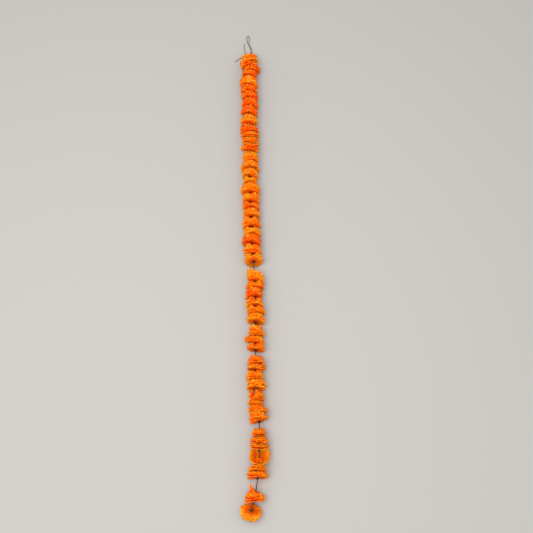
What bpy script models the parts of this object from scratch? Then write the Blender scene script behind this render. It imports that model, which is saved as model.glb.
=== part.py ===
"""A door garland of artificial marigolds: one strand of cloth flowers on a string.

The strand lies along Y on a flat surface, at its real size in metres, with +Z up. Its hanging
loop is at the +Y end. The origin is on the surface, under the middle of the row of flowers.
Each flower is one solid: a ruffled dome of petal rows with a green calyx at its back, bored for
the string. Flowers that are pushed together share one tilted face, a little apart.
"""

import math
import random
from typing import NamedTuple

import bmesh
import bpy
from mathutils import Vector

MM = 0.001

# Flower sizes, mm
SEGMENTS = 14
BORE_RADIUS = 3.0
CALYX_RADIUS = 5.0
CALYX_LENGTH = 5.0
CALYX_INSET = 0.6
HOLLOW_RADIUS = 6.2
HOLLOW_DEPTH = 1.4
FACE_RADIUS = 16.0
SHOULDER_RADIUS = 22.5
RIM_RADIUS = 28.0
SKIRT_RADIUS = 25.5
ABOVE_STRING = 27.0
BELOW_STRING = 30.0
STRING_HEIGHT = 24.0
FACE_GAP = 0.7
CLOSE_GAP = 5.0
FLOOR_SNAP = 1.6
USUAL_DEPTH = 24.0
MERGE_DISTANCE = 0.01

# How deep each outer row stands, as a share of the flower's depth from its front
SHOULDER_SHARE = 0.26
RIM_SHARE = 0.66
SKIRT_SHARE = 0.92

# Ruffles of the outer rows, as shares of the radius and of the depth
LOBE = 0.045
UNEVEN = 0.035
WAVER = 0.035
RUFFLE_SEED = 51

# String and cord sizes, mm
STRING_DIAMETER = 2.8
CORD_DIAMETER = 2.4
CORD_STEP = 3.2
CORD_HEIGHT = 1.25
STRING_END_INSET = 2.0
GAP_SAG = 1.8
LONG_GAP = 20.0
STRAIGHT_OUT = 3.0
STRING_BEVEL = 1
CORD_BEVEL = 2
CURVE_PARTS = 24

# Colours, linear RGBA, and roughness
PETAL_COLOUR = (0.90, 0.16, 0.004, 1.0)
STRING_COLOUR = (0.115, 0.095, 0.050, 1.0)
CORD_COLOUR = (0.30, 0.22, 0.18, 1.0)
CLOTH_ROUGHNESS = 0.8


class Bloom(NamedTuple):
    """One flower: where its front face crosses the string and how it stands, in mm and degrees."""

    front: float
    depth: float
    left: float
    right: float
    yaw: float
    lean: float
    rear: float | None = None


# A positive yaw turns the right side towards the loop, and a positive lean its top. The rear is
# the lean of a flower's back, where that is another one.
BLOOMS = (
    Bloom(front=706, depth=31, left=31, right=27, yaw=16, lean=-6),
    Bloom(front=675, depth=11, left=25, right=25, yaw=16, lean=0),
    Bloom(front=664, depth=17, left=22, right=33, yaw=6, lean=0),
    Bloom(front=647, depth=18, left=25, right=23, yaw=2, lean=0),
    Bloom(front=629, depth=34, left=32, right=25, yaw=-8, lean=0),
    Bloom(front=595, depth=21, left=28, right=24, yaw=-8, lean=0),
    Bloom(front=574, depth=24, left=27, right=26, yaw=-4, lean=4),
    Bloom(front=550, depth=27, left=25, right=27, yaw=-3, lean=2),
    Bloom(front=523, depth=27, left=28, right=24, yaw=-12, lean=0),
    Bloom(front=496, depth=36, left=30, right=24, yaw=2, lean=-20),
    Bloom(front=460, depth=26, left=31, right=27, yaw=2, lean=0),
    Bloom(front=434, depth=13, left=28, right=28, yaw=-3, lean=-8),
    Bloom(front=421, depth=18, left=26, right=28, yaw=3, lean=-28),
    Bloom(front=403, depth=30, left=28, right=27, yaw=-3, lean=-32),
    Bloom(front=373, depth=36, left=23, right=25, yaw=-5, lean=8),
    Bloom(front=337, depth=28, left=28, right=27, yaw=2, lean=2),
    Bloom(front=309, depth=24, left=25, right=24, yaw=-2, lean=8),
    Bloom(front=282, depth=19, left=22, right=21, yaw=4, lean=0),
    Bloom(front=263, depth=30, left=29, right=29, yaw=0, lean=8),
    Bloom(front=230, depth=25, left=24, right=29, yaw=-5, lean=10),
    Bloom(front=202, depth=21, left=24, right=27, yaw=2, lean=2),
    Bloom(front=181, depth=25, left=24, right=28, yaw=-4, lean=4),
    Bloom(front=153, depth=28, left=27, right=27, yaw=5, lean=10),
    Bloom(front=122, depth=24, left=24, right=27, yaw=6, lean=2),
    Bloom(front=98, depth=27, left=31, right=26, yaw=-2, lean=12),
    Bloom(front=67, depth=26, left=27, right=25, yaw=-3, lean=6),
    Bloom(front=38, depth=20, left=27, right=27, yaw=4, lean=8, rear=28),
    Bloom(front=-8, depth=36, left=25, right=28, yaw=-8, lean=8),
    Bloom(front=-47, depth=17, left=26, right=27, yaw=4, lean=12),
    Bloom(front=-64, depth=27, left=29, right=22, yaw=3, lean=10),
    Bloom(front=-94, depth=24, left=28, right=23, yaw=-4, lean=6),
    Bloom(front=-118, depth=21, left=25, right=28, yaw=5, lean=4),
    Bloom(front=-139, depth=24, left=26, right=27, yaw=-4, lean=6),
    Bloom(front=-176, depth=28, left=21, right=25, yaw=6, lean=-4),
    Bloom(front=-206, depth=19, left=32, right=23, yaw=-5, lean=8),
    Bloom(front=-228, depth=15, left=25, right=26, yaw=-3, lean=6),
    Bloom(front=-262, depth=22, left=22, right=25, yaw=4, lean=-4),
    Bloom(front=-284, depth=17, left=24, right=29, yaw=-3, lean=2),
    Bloom(front=-304, depth=24, left=27, right=23, yaw=5, lean=4),
    Bloom(front=-328, depth=25, left=26, right=30, yaw=0, lean=6),
    Bloom(front=-360, depth=27, left=21, right=23, yaw=8, lean=0),
    Bloom(front=-387, depth=11, left=25, right=19, yaw=0, lean=0),
    Bloom(front=-398, depth=18, left=25, right=31, yaw=-10, lean=4),
    Bloom(front=-416, depth=26, left=26, right=29, yaw=8, lean=10),
    Bloom(front=-462, depth=20, left=21, right=17, yaw=0, lean=-8),
    Bloom(front=-482, depth=20, left=27, right=25, yaw=3, lean=2),
    Bloom(front=-502, depth=12, left=26, right=28, yaw=-3, lean=-14),
    Bloom(front=-535, depth=21, left=28, right=30, yaw=2, lean=-45, rear=-10),
    Bloom(front=-556, depth=19, left=27, right=23, yaw=-4, lean=0),
    Bloom(front=-575, depth=17, left=30, right=30, yaw=2, lean=10),
    Bloom(front=-620, depth=32, left=26, right=31, yaw=8, lean=-10),
)

# The last flower is strung back to front and lies on its face, mm and degrees
LAST_BACK = Vector((-3.0, -676.0, 27.0))
LAST_DEPTH = 22.0
LAST_LEFT = 27.0
LAST_RIGHT = 30.0
LAST_YAW = 180.0
LAST_LEAN = 44.0


class Bend(NamedTuple):
    """A place where the string's line across the surface changes, in mm."""

    along: float
    across: float


STRING_LINE = (
    Bend(along=705, across=-16.5),
    Bend(along=550, across=-15.5),
    Bend(along=375, across=-13.0),
    Bend(along=210, across=-11.5),
    Bend(along=55, across=-4.0),
    Bend(along=-6, across=1.5),
    Bend(along=-98, across=4.5),
    Bend(along=-218, across=7.0),
    Bend(along=-262, across=5.5),
    Bend(along=-355, across=7.5),
    Bend(along=-415, across=10.5),
    Bend(along=-442, across=16.5),
    Bend(along=-462, across=18.0),
    Bend(along=-536, across=17.5),
    Bend(along=-571, across=14.5),
    Bend(along=-596, across=12.5),
    Bend(along=-657, across=1.0),
    Bend(along=-676, across=-3.0),
)

# Routes of the free cords, each a list of places in mm: across, along and up
HANGING_LOOP = (
    (-17.4, 706.8, 25.0),
    (-16.9, 713.5, 23.3),
    (-15.3, 722.0, 12.5),
    (-14.0, 729.5, 3.8),
    (-13.2, 737.0, CORD_HEIGHT),
    (-15.3, 746.5, CORD_HEIGHT),
    (-19.4, 756.5, CORD_HEIGHT),
    (-23.3, 766.0, CORD_HEIGHT),
    (-26.2, 775.5, CORD_HEIGHT),
    (-27.6, 785.0, CORD_HEIGHT),
    (-26.6, 791.0, CORD_HEIGHT),
    (-23.0, 794.3, CORD_HEIGHT),
    (-19.4, 791.0, CORD_HEIGHT),
    (-18.4, 784.5, CORD_HEIGHT),
    (-19.0, 775.0, CORD_HEIGHT),
    (-19.6, 766.5, CORD_HEIGHT),
    (-16.4, 757.5, CORD_HEIGHT),
    (-12.1, 747.0, CORD_HEIGHT),
    (-9.9, 737.0, CORD_HEIGHT),
    (-10.8, 729.5, 3.8),
    (-12.2, 722.0, 12.5),
    (-13.8, 713.5, 23.3),
    (-14.4, 706.8, 25.0),
)
SECOND_STRAND = (
    (-20.4, 706.8, 24.5),
    (-22.2, 713.5, 21.8),
    (-26.2, 721.0, 11.0),
    (-29.6, 727.5, 3.4),
    (-32.4, 734.0, CORD_HEIGHT),
    (-34.2, 743.0, CORD_HEIGHT),
    (-34.9, 752.5, CORD_HEIGHT),
    (-35.2, 764.5, CORD_HEIGHT),
)
LOOSE_END = (
    (-17.8, 706.8, 20.6),
    (-22.4, 713.5, 17.0),
    (-32.0, 718.0, 7.5),
    (-38.8, 717.5, 2.6),
    (-45.8, 713.5, CORD_HEIGHT),
    (-54.8, 706.5, CORD_HEIGHT),
    (-64.0, 699.5, CORD_HEIGHT),
)


class Row(NamedTuple):
    """One ring of a flower's points: its radius and how far back it stands.

    The share runs from the flower's front, 0, to its back, 1. The lobe is how much its radius
    swings in and out from point to point, as a share, and a row without lobes is an even ring.
    """

    radius: float
    share: float
    forward: float = 0.0
    lobe: float = 0.0


ROWS = (
    Row(radius=BORE_RADIUS, share=0.0, forward=-CALYX_LENGTH),
    Row(radius=HOLLOW_RADIUS, share=0.0, forward=-HOLLOW_DEPTH),
    Row(radius=FACE_RADIUS, share=0.0),
    Row(radius=SHOULDER_RADIUS, share=SHOULDER_SHARE, lobe=-LOBE),
    Row(radius=RIM_RADIUS, share=RIM_SHARE, lobe=LOBE),
    Row(radius=SKIRT_RADIUS, share=SKIRT_SHARE, lobe=-LOBE),
    Row(radius=FACE_RADIUS, share=1.0),
    Row(radius=CALYX_RADIUS, share=1.0, forward=-CALYX_INSET),
    Row(radius=BORE_RADIUS, share=1.0, forward=-CALYX_LENGTH),
)


class Face:
    """A tilted plane across the string, which the rows of a flower are set out on."""

    def __init__(self, centre, yaw, lean):
        self.centre = centre
        turn = math.radians(yaw)
        tip = math.radians(lean)
        self.side = Vector((math.cos(turn), math.sin(turn), 0.0))
        self.ahead = Vector(
            (-math.sin(turn) * math.cos(tip), math.cos(turn) * math.cos(tip), -math.sin(tip))
        )
        self.upper = self.side.cross(self.ahead)

    def point(self, angle, radius, left, right, forward):
        """A point at an angle and radius about the string, forward of the plane, in mm."""
        spread = radius / RIM_RADIUS
        across = right if math.cos(angle) > 0.0 else left
        height = ABOVE_STRING if math.sin(angle) > 0.0 else BELOW_STRING
        wide = radius * (1.0 + (across / RIM_RADIUS - 1.0) * spread)
        tall = radius * (1.0 + (height / RIM_RADIUS - 1.0) * spread)
        return (
            self.centre
            + self.side * (math.cos(angle) * wide)
            + self.upper * (math.sin(angle) * tall)
            + self.ahead * forward
        )


def clear_scene():
    """Removes what the scene starts with."""
    for old in list(bpy.data.objects):
        bpy.data.objects.remove(old, do_unlink=True)


def finish_of(name, colour, roughness):
    """A plain Principled material."""
    material = bpy.data.materials.new(name)
    material.use_nodes = True
    shader = material.node_tree.nodes["Principled BSDF"]
    shader.inputs["Base Color"].default_value = colour
    shader.inputs["Roughness"].default_value = roughness
    shader.inputs["Metallic"].default_value = 0.0
    return material


def add_object(name, data, material):
    """Links a new object that shows the given mesh or curve."""
    data.materials.append(material)
    made = bpy.data.objects.new(name, data)
    bpy.context.scene.collection.objects.link(made)
    return made


def string_at(along):
    """The middle of the string at a place along it, in mm."""
    before = STRING_LINE[0]
    if along >= before.along:
        return Vector((before.across, along, STRING_HEIGHT))
    for after in STRING_LINE[1:]:
        if along >= after.along:
            share = (before.along - along) / (before.along - after.along)
            across = before.across + (after.across - before.across) * share
            return Vector((across, along, STRING_HEIGHT))
        before = after
    return Vector((before.across, along, STRING_HEIGHT))


def faces_of_blooms():
    """The front and back face of each flower, a list of pairs. Close flowers share a tilt."""
    pairs = []
    front = None
    for i, bloom in enumerate(BLOOMS):
        if front is None:
            front = Face(string_at(bloom.front), bloom.yaw, bloom.lean)
        along = bloom.front - bloom.depth
        yaw = bloom.yaw
        lean = bloom.lean if bloom.rear is None else bloom.rear
        after = BLOOMS[i + 1] if i + 1 < len(BLOOMS) else None
        if after is not None and along - after.front < CLOSE_GAP:
            yaw = (yaw + after.yaw) / 2.0
            lean = (lean + after.lean) / 2.0
            pairs.append((front, Face(string_at(along), yaw, lean)))
            front = Face(string_at(min(after.front, along - FACE_GAP)), yaw, lean)
        else:
            pairs.append((front, Face(string_at(along), yaw, lean)))
            front = None
    last_back = Face(LAST_BACK, LAST_YAW, LAST_LEAN)
    last_front = Face(LAST_BACK + last_back.ahead * LAST_DEPTH, LAST_YAW, LAST_LEAN)
    pairs.append((last_front, last_back))
    return pairs


def spun_body():
    """A closed ring with a row number on each point: the profile of the rows, spun once."""
    body = bmesh.new()
    row_of = body.verts.layers.int.new("row")
    start = math.pi / SEGMENTS
    points = []
    for number, row in enumerate(ROWS):
        along = row.forward - USUAL_DEPTH * row.share
        point = body.verts.new((row.radius * math.cos(start), along, row.radius * math.sin(start)))
        point[row_of] = number
        points.append(point)
    edges = [body.edges.new((points[i - 1], points[i])) for i in range(len(points))]
    bmesh.ops.spin(
        body,
        geom=points + edges,
        cent=(0.0, 0.0, 0.0),
        axis=(0.0, 1.0, 0.0),
        dvec=(0.0, 0.0, 0.0),
        angle=2.0 * math.pi,
        steps=SEGMENTS,
        use_merge=True,
    )
    bmesh.ops.remove_doubles(body, verts=body.verts, dist=MERGE_DISTANCE)
    bmesh.ops.recalc_face_normals(body, faces=body.faces)
    return body, row_of


def build_flower(name, faces, left, right, seed, material):
    """One flower between its front and back face, flat where it meets the surface."""
    front, back = faces
    uneven = random.Random(seed)
    body, row_of = spun_body()
    step = 2.0 * math.pi / SEGMENTS
    draws = [
        [(uneven.uniform(-UNEVEN, UNEVEN), uneven.uniform(-WAVER, WAVER)) for _ in range(SEGMENTS)]
        for _ in ROWS
    ]
    for point in body.verts:
        number = point[row_of]
        row = ROWS[number]
        radius = row.radius
        share = row.share
        angle = math.atan2(point.co.z, point.co.x)
        if row.lobe:
            k = round(angle / step - 0.5) % SEGMENTS
            grow, drift = draws[number][k]
            swing = row.lobe if k % 2 == 0 else -row.lobe
            radius *= 1.0 + swing + grow
            share += drift
        ahead = front.point(angle, radius, left, right, row.forward)
        behind = back.point(angle, radius, left, right, row.forward)
        place = ahead.lerp(behind, share)
        if place.z < FLOOR_SNAP:
            place.z = 0.0
        point.co = place * MM
    mesh = bpy.data.meshes.new(name)
    body.to_mesh(mesh)
    body.free()
    return add_object(name, mesh, material)


def poly_cord(name, points, diameter, sides_setting, material):
    """A cord of round section through the points, given in mm, closed at both ends."""
    curve = bpy.data.curves.new(name, "CURVE")
    curve.dimensions = "3D"
    curve.bevel_depth = diameter / 2.0 * MM
    curve.bevel_resolution = sides_setting
    curve.use_fill_caps = True
    spline = curve.splines.new("POLY")
    spline.points.add(len(points) - 1)
    for knot, place in zip(spline.points, points):
        knot.co = (place.x * MM, place.y * MM, place.z * MM, 1.0)
    return add_object(name, curve, material)


def smooth_route(route, step):
    """Evenly stepped points of a smooth curve through a route's own points, in mm."""
    own = [Vector(place) for place in route]
    ends = [own[0] * 2.0 - own[1]] + own + [own[-1] * 2.0 - own[-2]]
    fine = []
    for i in range(1, len(ends) - 2):
        p0, p1, p2, p3 = ends[i - 1 : i + 3]
        for j in range(CURVE_PARTS):
            t = j / CURVE_PARTS
            fine.append(
                0.5
                * (
                    p1 * 2.0
                    + (p2 - p0) * t
                    + (p0 * 2.0 - p1 * 5.0 + p2 * 4.0 - p3) * t * t
                    + (p1 * 3.0 - p0 - p2 * 3.0 + p3) * t * t * t
                )
            )
    fine.append(own[-1])
    total = sum((b - a).length for a, b in zip(fine, fine[1:]))
    count = max(2, round(total / step))
    spacing = total / count
    points = [fine[0]]
    walked = 0.0
    for a, b in zip(fine, fine[1:]):
        walked += (b - a).length
        while walked >= spacing * len(points) and len(points) < count:
            points.append(b.copy())
    points.append(fine[-1])
    for place in points:
        place.z = max(place.z, CORD_HEIGHT)
    return points


def string_route(pairs):
    """The string's points: through each flower's bore, sagging a little where it is bare."""
    route = []
    bare_from = None
    for front, back in pairs[:-1]:
        entry = front.centre - front.ahead * CALYX_LENGTH
        leave = back.centre - back.ahead * CALYX_LENGTH
        if bare_from is None:
            route.append(entry)
        elif (bare_from - entry).length > 2.0 * FACE_GAP:
            middle = (bare_from + entry) / 2.0
            middle.z -= GAP_SAG * min(1.0, (bare_from - entry).length / LONG_GAP) ** 2
            route.extend((bare_from, middle, entry))
        else:
            route.append((bare_from + entry) / 2.0)
        bare_from = leave
    front, back = pairs[-1]
    entry = back.centre - back.ahead * CALYX_LENGTH
    straight_out = entry - back.ahead * STRAIGHT_OUT
    end = front.centre - front.ahead * (CALYX_LENGTH + STRING_END_INSET)
    route.extend((bare_from, straight_out, entry, end))
    route[0] = pairs[0][0].centre
    return route


def main():
    """Builds the flowers, the string through them and the free cords at the top."""
    clear_scene()
    petals = finish_of("petal_cloth", PETAL_COLOUR, CLOTH_ROUGHNESS)
    string = finish_of("string_yarn", STRING_COLOUR, CLOTH_ROUGHNESS)
    cord = finish_of("loop_cord", CORD_COLOUR, CLOTH_ROUGHNESS)
    pairs = faces_of_blooms()
    reaches = [(bloom.left, bloom.right) for bloom in BLOOMS]
    reaches.append((LAST_LEFT, LAST_RIGHT))
    for i, (faces, (left, right)) in enumerate(zip(pairs, reaches)):
        build_flower(f"flower_{i + 1:02d}", faces, left, right, RUFFLE_SEED + i, petals)
    poly_cord("string", string_route(pairs), STRING_DIAMETER, STRING_BEVEL, string)
    cords = (
        ("hanging_loop", HANGING_LOOP),
        ("second_strand", SECOND_STRAND),
        ("loose_end", LOOSE_END),
    )
    for name, route in cords:
        poly_cord(name, smooth_route(route, CORD_STEP), CORD_DIAMETER, CORD_BEVEL, cord)


main()
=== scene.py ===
"""A strand of cloth marigolds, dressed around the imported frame.

Each flower is seven crinkled rounds of pinked cloth, gathered on a calyx cup. The flowers are
threaded on a plied cotton string, with free cords at the top end. Everything lies on a pale floor.
"""

import logging
import math
import random
from dataclasses import dataclass
from enum import Enum
from typing import Mapping, NamedTuple, Sequence, Union

import bmesh
import bpy
from mathutils import Matrix, Vector, noise


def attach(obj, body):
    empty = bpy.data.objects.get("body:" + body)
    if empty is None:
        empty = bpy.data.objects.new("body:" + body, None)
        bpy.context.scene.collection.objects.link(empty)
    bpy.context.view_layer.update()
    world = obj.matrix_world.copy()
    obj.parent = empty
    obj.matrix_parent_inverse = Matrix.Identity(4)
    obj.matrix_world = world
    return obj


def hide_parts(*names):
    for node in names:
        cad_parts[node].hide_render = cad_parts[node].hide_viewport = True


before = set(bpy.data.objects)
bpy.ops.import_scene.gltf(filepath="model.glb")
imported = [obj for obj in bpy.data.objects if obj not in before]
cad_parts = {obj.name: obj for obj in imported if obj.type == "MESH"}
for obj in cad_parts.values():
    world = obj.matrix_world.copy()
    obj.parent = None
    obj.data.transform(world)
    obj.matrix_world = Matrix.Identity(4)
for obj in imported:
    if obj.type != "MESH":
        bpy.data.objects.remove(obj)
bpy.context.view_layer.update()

log = logging.getLogger("marigold_strand")

MM = 0.001
FULL_TURN = 2.0 * math.pi

Colour = tuple[float, float, float, float]
Socket = bpy.types.NodeSocket
Feed = Union[Socket, float, tuple]

# Flower sizes, mm, the same as the solids have
RIM_RADIUS = 28.0
ABOVE_STRING = 27.0
BELOW_STRING = 30.0
STRING_HEIGHT = 24.0
FACE_GAP = 0.7
CLOSE_GAP = 5.0

# The cloth rounds, mm
CUT_EXTRA = 1.12
CUT_HOLE = 3.0
CLOTH_THICKNESS = 0.35
COLUMNS = 8
PINKING = 0.3
PLEAT_DEPTH = 0.9
CRUMPLE = 2.0
CRUMPLE_LENGTH = 11.0
FINE_CRUMPLE = 0.35
FINE_LENGTH = 4.5
NOISE_SPREAD = 400.0
USUAL_DEPTH = 24.0
LOWEST_CLOTH = 0.3
FLOOR_SOFTNESS = 1.0
# Rounds this wide get the lightest painted tips
LIGHT_RADIUS = 25.0
WORKING_LAYERS = ("round", "column", "ring")

# Petals: shares, powers and waves
CROWN_POWER = 0.6
RUFFLE_POWER = 1.2
WAVES = 1.5
WAVE_SHARE = 0.6
LIFT_SHARE = 0.55
TILT = 0.08
UNEVEN_REACH = 0.035
# How light the smallest rounds' tips are painted, so that the heart stays redder as painted shade
HEART_LIGHTNESS = 0.6

# The calyx cup, mm
CALYX_LENGTH = 5.0
SEPALS = 5
STEPS_PER_SEPAL = 4
SEPAL_RADIUS = 5.0
SEPAL_NOTCH = 0.32
MERGE_DISTANCE = 0.01

# String and cords, mm
STRING_DIAMETER = 2.8
CORD_DIAMETER = 2.4
CORD_HEIGHT = 1.25
STRING_END_INSET = 2.0
GAP_SAG = 1.8
LONG_GAP = 20.0
STRAIGHT_OUT = 3.0
STRING_STEP = 1.5
CORD_STEP = 0.8
CURVE_PARTS = 24

RUFFLE_SEED = 51
FIRST_FRONT = 706


class Tone(Enum):
    """The shades of the dyed cloth along the strand."""

    DEEP = "deep"
    BRIGHT = "bright"
    GOLDEN = "golden"


class Bloom(NamedTuple):
    """One flower: its size about the string and how it stands, in mm and degrees.

    The gap is the string that is left bare behind it. The rear is the lean of its back, where that
    is another one.
    """

    depth: float
    left: float
    right: float
    yaw: float
    lean: float
    gap: float = 0.0
    rear: float | None = None
    tone: Tone = Tone.BRIGHT


# From the loop's end to the foot. A positive yaw turns the right side towards the loop, and a
# positive lean its top.
BLOOMS = (
    Bloom(depth=31, left=31, right=27, yaw=16, lean=-6),
    Bloom(depth=11, left=25, right=25, yaw=16, lean=0, tone=Tone.DEEP),
    Bloom(depth=17, left=22, right=33, yaw=6, lean=0, tone=Tone.DEEP),
    Bloom(depth=18, left=25, right=23, yaw=2, lean=0, tone=Tone.DEEP),
    Bloom(depth=34, left=32, right=25, yaw=-8, lean=0),
    Bloom(depth=21, left=28, right=24, yaw=-8, lean=0, tone=Tone.DEEP),
    Bloom(depth=24, left=27, right=26, yaw=-4, lean=4, tone=Tone.DEEP),
    Bloom(depth=27, left=25, right=27, yaw=-3, lean=2, tone=Tone.DEEP),
    Bloom(depth=27, left=28, right=24, yaw=-12, lean=0, tone=Tone.DEEP),
    Bloom(depth=36, left=30, right=24, yaw=2, lean=-20, tone=Tone.GOLDEN),
    Bloom(depth=26, left=31, right=27, yaw=2, lean=0, tone=Tone.DEEP),
    Bloom(depth=13, left=28, right=28, yaw=-3, lean=-8),
    Bloom(depth=18, left=26, right=28, yaw=3, lean=-28, tone=Tone.GOLDEN),
    Bloom(depth=30, left=28, right=27, yaw=-3, lean=-32),
    Bloom(depth=36, left=23, right=25, yaw=-5, lean=8, tone=Tone.GOLDEN),
    Bloom(depth=28, left=28, right=27, yaw=2, lean=2),
    Bloom(depth=24, left=25, right=24, yaw=-2, lean=8, gap=3, tone=Tone.GOLDEN),
    Bloom(depth=19, left=22, right=21, yaw=4, lean=0, tone=Tone.GOLDEN),
    Bloom(depth=30, left=29, right=29, yaw=0, lean=8, gap=3),
    Bloom(depth=25, left=24, right=29, yaw=-5, lean=10, gap=3),
    Bloom(depth=21, left=24, right=27, yaw=2, lean=2, tone=Tone.DEEP),
    Bloom(depth=25, left=24, right=28, yaw=-4, lean=4, gap=3),
    Bloom(depth=28, left=27, right=27, yaw=5, lean=10, gap=3),
    Bloom(depth=24, left=24, right=27, yaw=6, lean=2, tone=Tone.GOLDEN),
    Bloom(depth=27, left=31, right=26, yaw=-2, lean=12, gap=4, tone=Tone.DEEP),
    Bloom(depth=26, left=27, right=25, yaw=-3, lean=6, gap=3),
    Bloom(depth=20, left=27, right=27, yaw=4, lean=8, gap=26, rear=28, tone=Tone.GOLDEN),
    Bloom(depth=36, left=25, right=28, yaw=-8, lean=8, gap=3, tone=Tone.GOLDEN),
    Bloom(depth=17, left=26, right=27, yaw=4, lean=12),
    Bloom(depth=27, left=29, right=22, yaw=3, lean=10, gap=3, tone=Tone.DEEP),
    Bloom(depth=24, left=28, right=23, yaw=-4, lean=6),
    Bloom(depth=21, left=25, right=28, yaw=5, lean=4),
    Bloom(depth=24, left=26, right=27, yaw=-4, lean=6, gap=13, tone=Tone.GOLDEN),
    Bloom(depth=28, left=21, right=25, yaw=6, lean=-4, gap=2, tone=Tone.GOLDEN),
    Bloom(depth=19, left=32, right=23, yaw=-5, lean=8, gap=3),
    Bloom(depth=15, left=25, right=26, yaw=-3, lean=6, gap=19),
    Bloom(depth=22, left=22, right=25, yaw=4, lean=-4),
    Bloom(depth=17, left=24, right=29, yaw=-3, lean=2, gap=3),
    Bloom(depth=24, left=27, right=23, yaw=5, lean=4, tone=Tone.GOLDEN),
    Bloom(depth=25, left=26, right=30, yaw=0, lean=6, gap=7, tone=Tone.GOLDEN),
    Bloom(depth=27, left=21, right=23, yaw=8, lean=0),
    Bloom(depth=11, left=25, right=19, yaw=0, lean=0),
    Bloom(depth=18, left=25, right=31, yaw=-10, lean=4),
    Bloom(depth=26, left=26, right=29, yaw=8, lean=10, gap=20),
    Bloom(depth=20, left=21, right=17, yaw=0, lean=-8, tone=Tone.GOLDEN),
    Bloom(depth=20, left=27, right=25, yaw=3, lean=2, tone=Tone.GOLDEN),
    Bloom(depth=12, left=26, right=28, yaw=-3, lean=-14, gap=21, tone=Tone.GOLDEN),
    Bloom(depth=21, left=28, right=30, yaw=2, lean=-45, rear=-10, tone=Tone.GOLDEN),
    Bloom(depth=19, left=27, right=23, yaw=-4, lean=0, tone=Tone.GOLDEN),
    Bloom(depth=17, left=30, right=30, yaw=2, lean=10, gap=28),
    Bloom(depth=32, left=26, right=31, yaw=8, lean=-10),
)

# The last flower is strung back to front and lies on its face, mm and degrees
LAST_BACK = Vector((-3.0, -676.0, 27.0))
LAST_BLOOM = Bloom(depth=22, left=27, right=30, yaw=180, lean=44, tone=Tone.GOLDEN)


class Quirk(NamedTuple):
    """How some petals differ: those about the angles reach less, by a share, or stand forward, in mm.

    Angles are in degrees round the string, from the right side over the top. Rows are rounds of
    cloth, counted from the front.
    """

    flowers: tuple[int, ...]
    angles: tuple[float, ...]
    width: float
    rows: tuple[int, ...]
    shorter: float = 0.0
    forward: float = 0.0

    def shares(self, angle: float) -> list[float]:
        """How much a place at an angle takes part, for each middle: 1 near it, then less."""
        away = [abs((angle - middle + 180.0) % 360.0 - 180.0) for middle in self.angles]
        return [min(1.0, 2.0 * max(0.0, 1.0 - turn / self.width)) for turn in away]


# A width that takes in every petal of a round
ALL_ROUND = 400.0

QUIRKS = (
    Quirk(flowers=(1,), angles=(150,), width=80, shorter=-0.04, forward=3, rows=(0, 1, 2, 3, 4)),
    Quirk(flowers=(1,), angles=(35,), width=45, shorter=0.06, forward=-6, rows=(0, 1, 2, 3)),
    Quirk(flowers=(13,), angles=(85,), width=50, shorter=0.28, rows=(2, 3, 4)),
    Quirk(flowers=(13,), angles=(0,), width=50, shorter=0.10, forward=-2, rows=(5, 6)),
    Quirk(flowers=(14,), angles=(0,), width=60, shorter=-0.07, forward=6, rows=(2, 3, 4)),
    Quirk(flowers=(15,), angles=(85,), width=50, shorter=0.28, rows=(1, 2, 3, 4)),
    Quirk(flowers=(27,), angles=(90,), width=40, shorter=0.50, forward=-3, rows=(3, 4, 5)),
    Quirk(flowers=(28,), angles=(90,), width=ALL_ROUND, forward=-4, rows=(0, 1, 2, 3)),
    Quirk(flowers=(28,), angles=(90,), width=50, shorter=0.10, forward=-2, rows=(0, 1, 2)),
    Quirk(flowers=(28,), angles=(145,), width=50, shorter=-0.05, forward=4, rows=(1, 2, 3)),
    Quirk(flowers=(28,), angles=(35,), width=40, shorter=0.05, forward=-2, rows=(1, 2, 3)),
    Quirk(flowers=(28,), angles=(180,), width=40, shorter=0.12, forward=4, rows=(5, 6)),
    Quirk(flowers=(29, 31), angles=(90,), width=40, shorter=0.50, forward=-3, rows=(3, 4)),
    Quirk(flowers=(34,), angles=(125,), width=60, forward=3, rows=(1, 2, 3)),
    Quirk(flowers=(35,), angles=(75,), width=30, shorter=0.30, forward=4, rows=(5, 6)),
    Quirk(flowers=(35,), angles=(180,), width=60, shorter=-0.04, forward=4, rows=(4, 5, 6)),
    Quirk(flowers=(36,), angles=(85,), width=40, shorter=0.60, forward=-2, rows=(3, 4, 5)),
    Quirk(flowers=(37,), angles=(125,), width=44, forward=3, rows=(1, 2, 3)),
    Quirk(flowers=(38,), angles=(0,), width=50, forward=7, rows=(4, 5, 6)),
    Quirk(flowers=(41,), angles=(116, -116), width=22, shorter=0.30, forward=-12, rows=(0, 1, 2, 3, 4)),
    Quirk(flowers=(41,), angles=(165,), width=36, shorter=-0.08, forward=4, rows=(1, 2, 3, 4)),
    Quirk(flowers=(48,), angles=(-90,), width=18, shorter=0.35, rows=(0, 1, 2, 3)),
    Quirk(flowers=(48,), angles=(-50, -130), width=45, shorter=-0.14, forward=19, rows=(3, 4, 5)),
    Quirk(flowers=(48,), angles=(0, 180), width=60, shorter=0.25, forward=3, rows=(5, 6)),
    Quirk(flowers=(51,), angles=(122,), width=14, shorter=-0.10, forward=24, rows=(2,)),
    Quirk(flowers=(51,), angles=(0,), width=120, shorter=0.12, forward=-16, rows=(0, 1, 2, 3)),
    Quirk(flowers=(51,), angles=(0,), width=50, shorter=0.04, forward=-8, rows=(4, 5, 6)),
    Quirk(flowers=(52,), angles=(90, -90), width=60, shorter=0.12, rows=(3, 4, 5, 6)),
    Quirk(flowers=(52,), angles=(90,), width=60, shorter=0.15, rows=(2,)),
    # Front petals that part at the top, so that the calyx ahead of them shows
    Quirk(
        flowers=(18, 20, 21, 23, 24, 26, 27, 29, 31, 32, 36, 39),
        angles=(90,), width=34, shorter=0.65, forward=-2, rows=(0, 1, 2, 3),
    ),
)


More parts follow.
